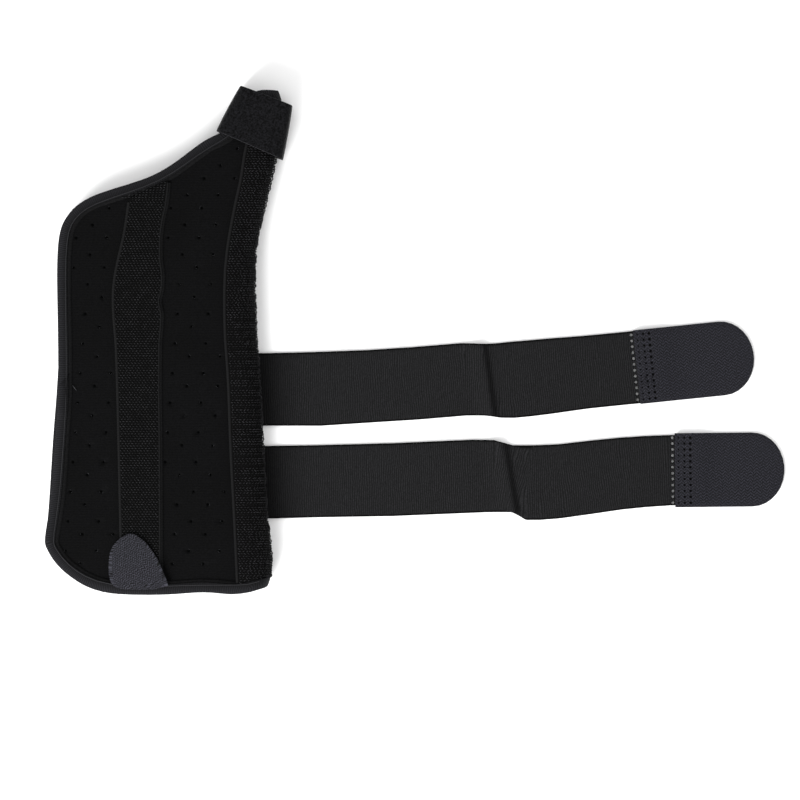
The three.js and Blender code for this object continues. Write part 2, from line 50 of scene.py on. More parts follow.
# The splint lies on a matt white table and is seen from straight above, its sleeve at the left
# and its straps to the right. A long lens keeps the raised sleeve and the flat straps at one
# scale. A soft box at the lower left shades the cloth, and the bright room fills its shadows.
lens_mm = 300.0
sensor_mm = 36.0
view_width = 419 * mm
view_centre = Vector((-7.8 * mm, -31.0 * mm, 0))
camera = bpy.data.objects.new("camera", bpy.data.cameras.new("camera"))
camera.data.lens = lens_mm
camera.data.sensor_width = sensor_mm
camera.data.clip_end = 20.0
camera.location = view_centre + Vector((0, 0, view_width * lens_mm / sensor_mm))
scene.collection.objects.link(camera)
scene.camera = camera
scene.view_settings.view_transform = "Standard"


def linear(code):
    """An sRGB hex colour as linear red, green, blue and alpha."""
    parts = [int(code[k:k + 2], 16) / 255 for k in (1, 3, 5)]
    return [p / 12.92 if p <= 0.04045 else ((p + 0.055) / 1.055) ** 2.4 for p in parts] + [1.0]


def new_material(name, color, roughness, specular):
    """A material with one Principled shader, and that shader."""
    material = bpy.data.materials.new(name)
    material.use_nodes = True
    shader = material.node_tree.nodes["Principled BSDF"]
    shader.inputs["Base Color"].default_value = linear(color)
    shader.inputs["Roughness"].default_value = roughness
    shader.inputs["Specular IOR Level"].default_value = specular
    return material, shader


def add_node(material, kind, inputs, output=0, **settings):
    """Adds a node with its settings, its inputs set or linked, and returns one of its outputs."""
    made = material.node_tree.nodes.new(kind)
    for name, value in settings.items():
        setattr(made, name, value)
    for name, value in inputs.items():
        if isinstance(value, bpy.types.NodeSocket):
            material.node_tree.links.new(value, made.inputs[name])
        else:
            made.inputs[name].default_value = value
    return made.outputs[output]


def finish_shader(shader, tone, relief=None):
    """Links a shader to its colour and, where it has one, to its relief."""
    links = shader.id_data.links
    links.new(tone, shader.inputs["Base Color"])
    if relief is not None:
        links.new(relief, shader.inputs["Normal"])


def add_piece(name, mesh, material):
    """A smooth-shaded piece of a mesh, in one material."""
    mesh.shade_smooth()
    mesh.materials.clear()
    mesh.materials.append(material)
    piece = bpy.data.objects.new(name, mesh)
    scene.collection.objects.link(piece)
    return piece


def finish_mesh(name, bm, material):
    """A smooth-shaded piece from a bmesh."""
    mesh = bpy.data.meshes.new(name)
    bm.to_mesh(mesh)
    bm.free()
    return add_piece(name, mesh, material)


# Painted board: matt and almost white, with a faint unevenness
floor_side = 6.0
floor_drop = 0.05 * mm       # keeps its face clear of the cloth that lies on it
grain_size = 33 * mm
board, board_shader = new_material("painted_board", "#fbfbfb", 0.9, 0.1)
unevenness = add_node(board, "ShaderNodeTexNoise", {"Scale": 1 / grain_size, "Detail": 3.0})
board_tone = add_node(board, "ShaderNodeMix", {
    "Factor": unevenness, "A": linear("#fafafa"), "B": linear("#fdfdfd"),
}, output="Result", data_type="RGBA")
finish_shader(board_shader, board_tone)
bm = bmesh.new()
bmesh.ops.create_grid(bm, x_segments=8, y_segments=8, size=floor_side / 2)
bmesh.ops.translate(bm, verts=bm.verts, vec=(0, 0, -floor_drop))
finish_mesh("floor", bm, board)

box_side = 0.9
box_power = 42.0
box_place = (-0.8, -1.05, 0.9)
room_strength = 1.1
soft_box = bpy.data.lights.new("soft_box", "AREA")
soft_box.size = box_side
soft_box.energy = box_power
light = bpy.data.objects.new("soft_box", soft_box)
light.location = box_place
light.rotation_euler = (-light.location).to_track_quat("-Z", "Y").to_euler()
scene.collection.objects.link(light)
world = bpy.data.worlds.new("bright_room")
world.use_nodes = True
world.node_tree.nodes["Background"].inputs["Color"].default_value = (1, 1, 1, 1)
world.node_tree.nodes["Background"].inputs["Strength"].default_value = room_strength
scene.world = world

# The sleeve's two panels are cut from a 3 mm laminate of foam rubber between two brushed knit
# faces, near black. Rows of fine air holes are pricked into it, and where the pins went in they
# leave short broken fibres that catch the light.
panel_round = 0.5 * mm
merge_gap = 0.01 * mm
quad_bend = math.radians(40)
quad_skew = math.radians(180)
pinhole_radii = (0.75 * mm, 1.1 * mm)
pinhole_depth = 2.8 * mm         # half of it stands above the face
pinhole_taper = 0.6              # share by which it narrows towards its foot
pinhole_sides = 12
pinhole_pitch = 16.1 * mm
pinhole_columns = 5              # to either side of the starting one
pinhole_row = 7.73 * mm
pinhole_pairing = 1.0 * mm       # rows lie alternately closer together and further apart
pinhole_start = Vector((-125.1 * mm, -1.4 * mm))
pinhole_lean = 0.083             # to the right, for each step up
pinhole_margin = 2.4 * mm        # free cloth that a hole needs round it
fibre_bend = 1.2 * mm
fibre_radius = 0.06 * mm
fibre_angle = 1.0                # radians of arc
fibre_sizes = (0.6, 1.0)
fibre_most = 2                   # at one hole
loose_fibre = Vector((-177.6 * mm, -24.7 * mm, 0))
loose_fibre_way = Vector((0.6, -0.8, 0))
loose_fibre_size = 3.0
loose_fibre_sink = 0.8           # share of its bend that lies under the face
look_from = 100 * mm             # over or under the table's face
shuffle = np.random.default_rng(7)


def cad_bmesh(node):
    """A CAD node's mesh, merged, with its triangles joined back into quads."""
    bm = bmesh.new()
    bm.from_mesh(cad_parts[node].data)
    bmesh.ops.remove_doubles(bm, verts=bm.verts, dist=merge_gap)
    bmesh.ops.join_triangles(
        bm, faces=bm.faces, angle_face_threshold=quad_bend, angle_shape_threshold=quad_skew)
    return bm


def soften(bm, width, angle=50):
    """Rounds a cut piece's edges that turn by more than an angle in degrees."""
    sharp = [e for e in bm.edges if e.is_manifold and e.calc_face_angle() > math.radians(angle)]
    bmesh.ops.bevel(
        bm, geom=sharp, offset=width, offset_type="OFFSET", segments=2, profile=0.5,
        affect="EDGES", material=-1, clamp_overlap=True)


def subdivide(piece, levels):
    """Gives a piece a smooth subdivided surface."""
    surface = piece.modifiers.new("smooth", "SUBSURF")
    surface.levels = levels
    surface.render_levels = levels


def settle(piece):
    """Turns a piece's modifiers into its mesh."""
    made = piece.evaluated_get(bpy.context.evaluated_depsgraph_get())
    mesh = bpy.data.meshes.new_from_object(made)
    piece.modifiers.clear()
    piece.data = mesh


def punch(piece, places, depth, taper, sides, lining):
    """Cuts round holes: each has its place, its way out and its radius, and narrows inwards."""
    bm = bmesh.new()
    for place, outward, radius in places:
        turn = outward.to_track_quat("Z", "Y").to_matrix().to_4x4()
        bmesh.ops.create_cone(
            bm, cap_ends=True, segments=sides, radius1=radius * (1 - taper),
            radius2=radius * (1 + taper), depth=depth,
            matrix=Matrix.Translation(place) @ turn)
    cutter = finish_mesh("cutter", bm, lining)
    cut = piece.modifiers.new("holes", "BOOLEAN")
    cut.operation = "DIFFERENCE"
    cut.solver = "MANIFOLD"
    cut.material_mode = "TRANSFER"
    cut.object = cutter
    settle(piece)
    bpy.data.objects.remove(cutter)


def bent_thread(bend, radius, angle=math.pi, steps=4, sides=4):
    """A short thread bent round an arc that stands up in its own x and z."""
    bm = bmesh.new()
    start = Matrix.Rotation(-(math.pi - angle) / 2, 4, "Y") @ Matrix.Translation((bend, 0, 0))
    bmesh.ops.create_circle(bm, segments=sides, radius=radius, matrix=start)
    bmesh.ops.spin(
        bm, geom=bm.verts[:] + bm.edges[:], cent=(0, 0, 0), axis=(0, 1, 0), dvec=(0, 0, 0),
        angle=-angle, steps=steps, use_merge=False, use_duplicate=False)
    bmesh.ops.holes_fill(bm, edges=bm.edges, sides=0)
    bmesh.ops.recalc_face_normals(bm, faces=bm.faces)
    mesh = bpy.data.meshes.new("thread")
    bm.to_mesh(mesh)
    bm.free()
    return mesh


def plant(name, thread, stands, material):
    """One mesh with a copy of a short thread at each stand: its place, own x, own z and size."""
    corners = np.empty(len(thread.vertices) * 3)
    thread.vertices.foreach_get("co", corners)
    corners = corners.reshape(-1, 3)
    faces = [list(p.vertices) for p in thread.polygons]
    grown = []
    joined = []
    for count, (place, own_x, own_z, size) in enumerate(stands):
        turn = np.array([own_x, own_z.cross(own_x), own_z]) * size
        grown.append(corners @ turn + np.array(place))
        joined.extend([k + count * len(corners) for k in face] for face in faces)
    mesh = bpy.data.meshes.new(name)
    mesh.from_pydata(np.concatenate(grown).tolist(), [], joined)
    return add_piece(name, mesh, material)


def node_tree(node):
    """A search tree of a CAD node's faces, to look for its surface."""
    bm = cad_bmesh(node)
    tree = BVHTree.FromBMesh(bm)
    bm.free()
    return tree


trees = {node: node_tree(node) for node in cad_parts}


def look_down(node, x, y, down=1):
    """Where a vertical look meets a node, and its normal there: from above, or below if -1."""
    start = Vector((x, y, look_from * down))
    place, normal, _, _ = trees[node].ray_cast(start, Vector((0, 0, -down)))
    return place, normal


def first_node(x, y, down):
    """The node that a vertical look meets first."""
    met = []
    for node in trees:
        place, _ = look_down(node, x, y, down)
        if place is not None:
            met.append((place.z * down, node))
    return max(met)[1] if met else None


course = 1.35 * mm       # a real knit's is under 1 mm, too fine for the render to show
nap_size = 0.7 * mm
cloud_size = 26 * mm


def band_scale(period):
    """The scale at which the bands of Blender's wave pattern lie a period apart."""
    return math.tau / 20 / period


def brushed_neoprene(name, dark, pale):
    """Brushed knit neoprene: matt near black, with fine level courses and a dusty uneven nap."""
    material, shader = new_material(name, pale, 0.95, 0.05)
    place = add_node(material, "ShaderNodeTexCoord", {}, output="Object")
    courses = add_node(material, "ShaderNodeTexWave", {
        "Vector": place, "Scale": band_scale(course),
        "Distortion": 2.5, "Detail": 2.0, "Detail Scale": 2.0,
    }, output="Fac", bands_direction="Y")
    nap = add_node(material, "ShaderNodeTexNoise", {
        "Vector": place, "Scale": 1 / nap_size, "Detail": 3.0})
    clouds = add_node(material, "ShaderNodeTexNoise", {
        "Vector": place, "Scale": 1 / cloud_size, "Detail": 2.0})
    tone = add_node(material, "ShaderNodeMix", {
        "Factor": clouds, "A": linear(dark), "B": linear(pale)}, output="Result", data_type="RGBA")
    weft = add_node(material, "ShaderNodeMapRange", {"Value": courses, "To Min": 0.94, "To Max": 1.06})
    fuzz = add_node(material, "ShaderNodeMapRange", {
        "Value": nap, "From Min": 0.35, "From Max": 0.65, "To Min": 0.7, "To Max": 1.3})
    knit = add_node(material, "ShaderNodeMath", {0: weft, 1: fuzz}, operation="MULTIPLY")
    tone = add_node(material, "ShaderNodeVectorMath", {
        0: tone, "Scale": knit}, output="Vector", operation="SCALE")
    height = add_node(material, "ShaderNodeMath", {0: courses, 1: nap}, operation="ADD")
    relief = add_node(material, "ShaderNodeBump", {
        "Height": height, "Strength": 0.5, "Distance": 0.1 * mm})
    finish_shader(shader, tone, relief)
    return material


neoprene = brushed_neoprene("brushed_knit_neoprene", "#050505", "#080809")

# The same cloth painted paler, for the swellings beside the binding and the centre tape: painted light
# that lifts the shade those swellings lie in
painted_lighter_neoprene = brushed_neoprene("brushed_knit_neoprene_painted_lighter", "#0c0c0c", "#101011")

# Broken polyamide fibres: pale and slightly glossy, so that each shows as a fleck
fleck_size = 4 * mm
fibre, fibre_shader = new_material("broken_polyamide_fibre", "#2c2c2f", 0.6, 0.3)
place = add_node(fibre, "ShaderNodeTexCoord", {}, output="Object")
patchy = add_node(fibre, "ShaderNodeTexNoise", {
    "Vector": place, "Scale": 1 / fleck_size, "Detail": 1.0})
tone = add_node(fibre, "ShaderNodeMix", {
    "Factor": patchy, "A": linear("#0e0e10"), "B": linear("#303034"),
}, output="Result", data_type="RGBA")
finish_shader(fibre_shader, tone)

for node, down in (("front_panel", 1), ("back_panel", -1)):
    bm = cad_bmesh(node)
    soften(bm, panel_round)
    piece = finish_mesh(f"{node}_laminate", bm, neoprene)
    subdivide(piece, 2)
    settle(piece)
    low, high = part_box(node)
    holes = []
    for row in range(math.floor((low[1] - pinhole_start.y) / pinhole_row),
                     math.ceil((high[1] - pinhole_start.y) / pinhole_row)):
        y = pinhole_start.y + row * pinhole_row + (row % 2) * pinhole_pairing
        shift = (row % 2) * pinhole_pitch / 2 + pinhole_lean * (y - pinhole_start.y)
        for column in range(-pinhole_columns, pinhole_columns + 1):
            x = pinhole_start.x + column * pinhole_pitch + shift
            around = [(x + a * pinhole_margin, y + b * pinhole_margin)
                      for a, b in ((0, 0), (1, 0), (-1, 0), (0, 1), (0, -1))]
            if all(first_node(*point, down) == node for point in around):
                holes.append((*look_down(node, x, y, down), shuffle.uniform(*pinhole_radii)))
    punch(piece, holes, pinhole_depth, pinhole_taper, pinhole_sides, neoprene)
    stands = []
    for spot, normal, radius in holes:
        for _ in range(shuffle.integers(0, fibre_most + 1)):
            turn = shuffle.uniform(0, math.tau)
            own_x = Vector((math.cos(turn), math.sin(turn), 0)).cross(normal).normalized()
            own_z = own_x.cross(normal)
            aside = own_z * (radius - fibre_bend) + normal * fibre_radius
            stands.append((spot + aside, own_x, own_z, shuffle.uniform(*fibre_sizes)))
    if node == "front_panel":
        spot, normal = look_down(node, *loose_fibre.xy)
        sunk = spot - normal * fibre_bend * loose_fibre_sink * loose_fibre_size
        stands.append((sunk, loose_fibre_way, normal, loose_fibre_size))
    fibres = plant(f"{node}_fibres", bent_thread(fibre_bend, fibre_radius, fibre_angle), stands, fibre)
    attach(piece, "root")
    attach(fibres, "root")
    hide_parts(node)

# The cut edges are bound with a fine ribbed elastic, folded over the laminate and sewn down
# along its inner edge, where the stitches stand as a low ridge. Halfway up the front its two
# ends overlap in a slanting lap.
binding_round = 0.7 * mm
rib = 0.95 * mm
binding_seam = 2.1 * mm       # from the binding's centre line, towards the panel
seam_radius = 0.22 * mm
seam_to_x = -80 * mm          # where the bindings reach the fold
puff_radius = 2.0 * mm        # the foam swells beside the binding that pinches it
puff_sink = 0.85 * mm
puff_reach = 6 * mm           # the panel is looked for up to here from the centre line
puff_step = 0.2 * mm
lap_top = Vector((-186 * mm, -24 * mm, 0))
lap_length = 17 * mm
lap_slant = math.radians(52)
lap_wall = 0.28 * mm          # how far the lap stands out from the binding
lap_thinnest = 0.1            # share of its wall that it keeps at its lower end
lap_to_x = -150 * mm          # the slanting cut also leaves binding past it
lap_cut_gap = 1e-6


def sweep_line(bm, near):
    """The centre line of a piece swept with four corners, from its end that is nearest a place."""
    tips = sorted((v for v in bm.verts if len(v.link_edges) == 3), key=lambda v: (v.co - near).length)
    front = tips[:4]
    seen = set(front)
    line = []
    while len(front) > 3:
        line.append(sum((v.co for v in front), Vector()) / len(front))
        front = {e.other_vert(v) for v in front for e in v.link_edges} - seen
        seen |= front
    return line


def along_line(line):
    """A function that gives points' ways along a line, their distances to its right and a 0."""
    starts = np.array(line[:-1])
    steps = np.array(line[1:]) - starts
    lengths = np.linalg.norm(steps, axis=1)
    ways = np.cumsum(lengths) - lengths

    def locate(points):
        gaps = points[:, None] - starts
        shares = np.clip((gaps * steps).sum(axis=2) / lengths ** 2, 0, 1)
        asides = gaps - steps * shares[..., None]
        nearest = np.linalg.norm(asides, axis=2).argmin(axis=1)
        each = np.arange(len(points))
        aside = asides[each, nearest]
        right = steps[nearest, 1] * aside[:, 0] - steps[nearest, 0] * aside[:, 1]
        across = np.copysign(np.linalg.norm(aside[:, :2], axis=1), right)
        along = ways[nearest] + shares[each, nearest] * lengths[nearest]
        return np.column_stack([along, across, 0 * along])
    return locate


def lay_weave(piece, locate):
    """Stores where each vertex lies in the cloth: its way along, its way across and a mark."""
    points = np.empty(len(piece.data.vertices) * 3)
    piece.data.vertices.foreach_get("co", points)
    stored = piece.data.attributes.new("weave", "FLOAT_VECTOR", "POINT")
    stored.data.foreach_set("vector", locate(points.reshape(-1, 3)).ravel())


def cord_mesh(name, points, radius, material):
    """A thin round thread through points."""
    curve = bpy.data.curves.new(name, "CURVE")
    curve.dimensions = "3D"
    curve.bevel_depth = radius
    curve.bevel_resolution = 1
    curve.use_fill_caps = True
    spline = curve.splines.new("POLY")
    spline.points.add(len(points) - 1)
    for knot, point in zip(spline.points, points):
        knot.co = (*point, 1)
    bent = bpy.data.objects.new(name, curve)
    scene.collection.objects.link(bent)
    made = bent.evaluated_get(bpy.context.evaluated_depsgraph_get())
    mesh = bpy.data.meshes.new_from_object(made)
    bpy.data.objects.remove(bent)
    return add_piece(name, mesh, material)


def panel_beside(spot, inward):
    """Where the front panel comes out from under its binding, inward from a spot on it."""
    for reach in np.arange(binding_seam, puff_reach, puff_step):
        foot = spot.xy + inward * reach
        if look_down("front_binding", *foot)[0] is None:
            return look_down("front_panel", *foot)[0]
    return None


# Ribbed elastic: charcoal, its narrow ribs square to the edge, with painted light along its outer fold
# and painted shade towards its seam
thread_size = 0.6 * mm
painted_light_reach = 1.8 * mm         # from the centre line, where it is palest and darkest
binding, binding_shader = new_material("ribbed_elastic_binding", "#141416", 0.85, 0.1)
weave = add_node(binding, "ShaderNodeAttribute", {}, output="Vector", attribute_name="weave")
ribs = add_node(binding, "ShaderNodeTexWave", {
    "Vector": weave, "Scale": band_scale(rib), "Distortion": 0.8, "Detail": 1.0,
}, output="Fac", bands_direction="X")
threads = add_node(binding, "ShaderNodeTexNoise", {
    "Vector": weave, "Scale": 1 / thread_size, "Detail": 2.0})
tone = add_node(binding, "ShaderNodeMix", {
    "Factor": ribs, "A": linear("#0a0a0b"), "B": linear("#1b1b1e")}, output="Result", data_type="RGBA")
speck = add_node(binding, "ShaderNodeMapRange", {
    "Value": threads, "From Min": 0.35, "From Max": 0.65, "To Min": 0.75, "To Max": 1.25})
across = add_node(binding, "ShaderNodeSeparateXYZ", {"Vector": weave}, output="Y")
# Painted light and shade across the binding: paler outside its fold, darker towards its seam, then
# flecked by its threads
painted_light_and_specks = add_node(binding, "ShaderNodeMapRange", {
    "Value": across, "From Min": -painted_light_reach, "From Max": painted_light_reach, "To Min": 1.12, "To Max": 0.5})
painted_light_and_specks = add_node(binding, "ShaderNodeMath", {0: painted_light_and_specks, 1: speck}, operation="MULTIPLY")
tone = add_node(binding, "ShaderNodeVectorMath", {
    0: tone, "Scale": painted_light_and_specks}, output="Vector", operation="SCALE")
relief = add_node(binding, "ShaderNodeBump", {"Height": ribs, "Strength": 0.7, "Distance": 0.2 * mm})
finish_shader(binding_shader, tone, relief)

# Bonded polyester thread: a little paler than the cloth that it is sewn through
thread, thread_shader = new_material("bonded_polyester_thread", "#1a1a1c", 0.7, 0.2)
place = add_node(thread, "ShaderNodeTexCoord", {}, output="Object")
strands = add_node(thread, "ShaderNodeTexNoise", {
    "Vector": place, "Scale": 1 / thread_size, "Detail": 2.0})
tone = add_node(thread, "ShaderNodeMix", {
    "Factor": strands, "A": linear("#101011"), "B": linear("#222225"),
}, output="Result", data_type="RGBA")
finish_shader(thread_shader, tone)

for node, down in (("front_binding", 1), ("back_binding", -1)):
    bm = cad_bmesh(node)
    low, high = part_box(node)
    line = sweep_line(bm, Vector((high[0], low[1], (low[2] + high[2]) / 2)))
    locate = along_line(line)
    soften(bm, binding_round)
    piece = finish_mesh(f"{node}_elastic", bm, binding)
    lay_weave(piece, locate)
    subdivide(piece, 1)
    seam = []
    puff = []
    for before, spot, after in zip(line, line[1:], line[2:]):
        ahead = (after - before).xy.normalized()
        inward = Vector((ahead.y, -ahead.x))
        point, _ = look_down(node, *(spot.xy + inward * binding_seam), down)
        if point is not None and point.x < seam_to_x:
            seam.append(Vector((point.x, point.y, max(point.z, seam_radius))))
        foot = panel_beside(spot, inward) if node == "front_binding" else None
        if foot is not None and foot.x < seam_to_x:
            puff.append(foot - Vector((0, 0, puff_sink)))
    stitches = cord_mesh(f"{node}_seam", seam, seam_radius, thread)
    going = [stitches]
    if node == "front_binding":
        # This swelling is painted paler: painted light against the shade beside the binding
        swelling = cord_mesh("front_panel_swelling", puff, puff_radius, painted_lighter_neoprene)
        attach(swelling, "root")
        # The lap is a copy of one stretch of the binding, swollen a little along its normals
        bm = cad_bmesh(node)
        lap_foot = lap_top - Vector((0, lap_length, 0))
        slant = Vector((-math.sin(lap_slant), math.cos(lap_slant), 0))
        for spot, out in ((lap_top, slant), (lap_foot, Vector((0, -1, 0)))):
            bmesh.ops.bisect_plane(
                bm, geom=bm.verts[:] + bm.edges[:] + bm.faces[:], dist=lap_cut_gap,
                plane_co=spot, plane_no=out, clear_outer=True)
        bmesh.ops.delete(bm, geom=[v for v in bm.verts if v.co.x > lap_to_x], context="VERTS")
        bm.normal_update()
        for v in bm.verts:
            fade = min(1.0, (v.co.y - lap_top.y + lap_length) / (lap_length / 2))
            v.co += v.normal * lap_wall * max(fade, lap_thinnest)
        bmesh.ops.holes_fill(bm, edges=bm.edges, sides=0)
        lap = finish_mesh("front_binding_lap", bm, binding)
        lay_weave(lap, locate)
        going.append(lap)
    for each in (piece, *going):
        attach(each, "root")
    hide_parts(node)

# Two tapes of loop pile are sewn on the front: one down its middle over the stay's pocket, and a
# wide one round the fold. Each is a woven ground with raised selvages, full of nylon loops that
# lean in rows from side to side.
loop_bend = 0.5 * mm
loop_thread = 0.2 * mm
loop_row = 1.27 * mm
loop_pitch = 1.75 * mm
loop_turn = math.radians(64)  # between the tape's length and a loop
loop_sink = 0.1 * mm
selvage_width = 1.8 * mm
selvage_radius = 0.85 * mm
selvage_sink = 0.5 * mm
selvage_inset = 0.8 * mm      # from a left edge to the middle of its selvage
ground_round = 0.8 * mm
tape_wall = 1.0 * mm
edge_halvings = 12            # in the search for a tape's edge


def loop_stand(place, normal, turn, size):
    """How a loop stands on a tape, turned by an angle from the tape's length."""
    side = Vector((0, 1, 0)).cross(normal).normalized()
    own_x = normal.cross(side) * math.cos(turn) + side * math.sin(turn)
    return (place - normal * loop_sink, own_x.normalized(), normal, size)


def tape_edge(node, y, outside, inside):
    """Where a tape's edge lies in x, between a place outside it and one inside."""
    for _ in range(edge_halvings):
        middle = (outside + inside) / 2
        if look_down(node, middle, y)[0] is None:
            outside = middle
        else:
            inside = middle
    return inside


# Woven nylon ground: near black, in shadow under the loops
ground_pitch = 0.9 * mm       # the real threads are finer than the render can show
ground, ground_shader = new_material("woven_nylon_ground", "#060606", 0.9, 0.05)
place = add_node(ground, "ShaderNodeTexCoord", {}, output="Object")
warp, weft = [add_node(ground, "ShaderNodeTexWave", {
    "Vector": place, "Scale": band_scale(ground_pitch), "Distortion": 1.0,
}, output="Fac", bands_direction=way) for way in ("X", "Y")]
both = add_node(ground, "ShaderNodeMath", {0: warp, 1: weft}, operation="MULTIPLY")
tone = add_node(ground, "ShaderNodeMix", {
    "Factor": both, "A": linear("#030303"), "B": linear("#0c0c0c")}, output="Result", data_type="RGBA")
relief = add_node(ground, "ShaderNodeBump", {"Height": both, "Strength": 0.6, "Distance": 0.2 * mm})
finish_shader(ground_shader, tone, relief)

# Nylon loop pile: black filament with a dull shine on each loop's top
patch_size = 3 * mm
pile, pile_shader = new_material("nylon_loop_pile", "#111112", 0.6, 0.18)
place = add_node(pile, "ShaderNodeTexCoord", {}, output="Object")
patches = add_node(pile, "ShaderNodeTexNoise", {
    "Vector": place, "Scale": 1 / patch_size, "Detail": 3.0})
patches = add_node(pile, "ShaderNodeMapRange", {"Value": patches, "From Min": 0.35, "From Max": 0.65})
tone = add_node(pile, "ShaderNodeMix", {
    "Factor": patches, "A": linear("#040405"), "B": linear("#202022"),
}, output="Result", data_type="RGBA")
finish_shader(pile_shader, tone)

# Woven selvage: a close plain edge, paler than the pile because no loop shades it
selvage, selvage_shader = new_material("woven_nylon_selvage", "#121213", 0.85, 0.1)
place = add_node(selvage, "ShaderNodeTexCoord", {}, output="Object")
picks = add_node(selvage, "ShaderNodeTexWave", {
    "Vector": place, "Scale": band_scale(ground_pitch), "Distortion": 1.5,
}, output="Fac", bands_direction="Y")
tone = add_node(selvage, "ShaderNodeMix", {
    "Factor": picks, "A": linear("#090909"), "B": linear("#111112")}, output="Result", data_type="RGBA")
finish_shader(selvage_shader, tone)

# The centre tape lies on the front panel, and its top end is cut on a slant, where its loops
# reach a little past the ground. The foam swells beside its right selvage.
tape_puff_radius = 1.2 * mm
tape_puff_sink = 0.15 * mm
tape_puff_gap = 0.3 * mm      # from the tape's edge to the swelling's middle
slant_step = 1 * mm           # the left edge moves further than this from row to row
slant_reach = 4 * mm
right_bare = 0.8 * mm         # no loop stands nearer to the right edge
right_inset = 0.5 * mm        # from the right edge to the middle of its selvage
right_slimness = 0.7          # of the right selvage beside the left one
centre_stray = 0.06 * mm      # spread of the loops across the tape
centre_turns = 0.3            # spread of their turns, in radians
centre_sizes = (0.85, 1.1)
loop = bent_thread(loop_bend, loop_thread)
low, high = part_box("centre_loop_tape")
past_left = low[0] - 1 * mm
past_right = high[0] + 1 * mm
tape_middle = (low[0] + high[0]) / 2
tape_top = high[0] - 3 * mm   # the slanting end reaches highest at its right
stands = []
left_edge = []
right_edge = []
right_foot = []
last_left = high[0]
for row, y in enumerate(np.arange(low[1] + loop_row / 2, high[1], loop_row)):
    inside = tape_middle if look_down("centre_loop_tape", tape_middle, y)[0] is not None else tape_top
    left = tape_edge("centre_loop_tape", y, past_left, inside)
    right = tape_edge("centre_loop_tape", y, past_right, inside)
    slanting = left > last_left + slant_step
    last_left = left
    first = left - slant_reach if slanting else left + selvage_width
    for x in np.arange(first + (row % 2) * loop_pitch / 2, right - right_bare, loop_pitch):
        x += shuffle.normal(0, centre_stray)
        point, normal = look_down("centre_loop_tape", x, y)
        if point is None and slanting and first_node(x, y, 1) == "front_panel":
            point, normal = look_down("front_panel", x, y)
            point += normal * tape_wall
        if point is not None:
            turn = loop_turn * (1 if row % 2 else -1) + shuffle.normal(0, centre_turns)
            stands.append(loop_stand(point, normal, turn, shuffle.uniform(*centre_sizes)))
    for edge, inset, points in ((left, selvage_inset, left_edge), (right, -right_inset, right_edge)):
        point, _ = look_down("centre_loop_tape", edge + inset, y)
        if point is not None and row % 2 == 0 and not (slanting and points is left_edge):
            points.append(point - Vector((0, 0, selvage_sink)))
    point, _ = look_down("front_panel", right + tape_puff_gap, y)
    if point is not None and row % 2 == 0:
        right_foot.append(point - Vector((0, 0, tape_puff_sink)))
# This swelling is painted paler: painted light against the shade beside the tape's right selvage
swelling = cord_mesh("front_panel_tape_swelling", right_foot, tape_puff_radius, painted_lighter_neoprene)
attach(swelling, "root")
going = [
    plant("centre_tape_loops", loop, stands, pile),
    cord_mesh("centre_tape_left_selvage", left_edge, selvage_radius, selvage),
    cord_mesh("centre_tape_right_selvage", right_edge, selvage_radius * right_slimness, selvage),
]
bm = cad_bmesh("centre_loop_tape")
soften(bm, ground_round)
piece = finish_mesh("centre_tape_ground", bm, ground)
subdivide(piece, 1)
for each in (piece, *going):
    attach(each, "root")
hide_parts("centre_loop_tape")

# The wide tape wraps the fold, where its loops stand out as a fringe. It is gathered where the
# straps pull under it, which closes some rows of loops up. A row without a fringe loop, and the
# one at the hem that the fold doesn't reach, is filled by loops just behind the fold.
fold_radius = 8 * mm
fold_step = 4                 # degrees round the fold
radial_across = 12 * mm       # a place on the tape, in from the fold
radial_under = 20 * mm        # how far in under the fold the tape is walked along
radial_clear = 4 * mm         # clear of the tape, out from its left
ray_radii = 4                 # fold radii off, where a look at the fold starts
walk_step = 0.5 * mm
walk_gap = 3 * mm             # a longer step ends the walk
radial_turns = 0.25           # spread of the loops' turns, in radians
radial_sizes = (0.85, 1.15)
radial_pitches = (0.9, 1.15)
gather_low = -92 * mm
gather_high = 14 * mm
gather_rows = 4               # one row in so many is closed up
gather_size = 0.5
gather_reach = (2, 12)        # millimetres in from the fold's axis
fringe_bend = 0.85 * mm
fringe_thread = 0.26 * mm
fringe_steps = 6
fringe_share = 0.85           # of the rows that have a fringe loop
fringe_turns = 0.3
fringe_sizes = (0.7, 1.2)
filler_rows = 1.5             # how far below the fold a row is still filled
filler_loops = 12
to_right = Vector((1, 0, 0))
radial_tree = trees["radial_loop_tape"]
low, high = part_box("radial_loop_tape")
fold_middle = (low[2] + high[2]) / 2
front_stands = []
under_stands = []
fringe_stands = []
radial_edge = []
heights = np.arange(low[1] + loop_row / 2, high[1], loop_row)
outer = [radial_tree.ray_cast(Vector((0, y, fold_middle)), -to_right)[0] for y in heights]
hem_fold = next(point for point in outer if point is not None)
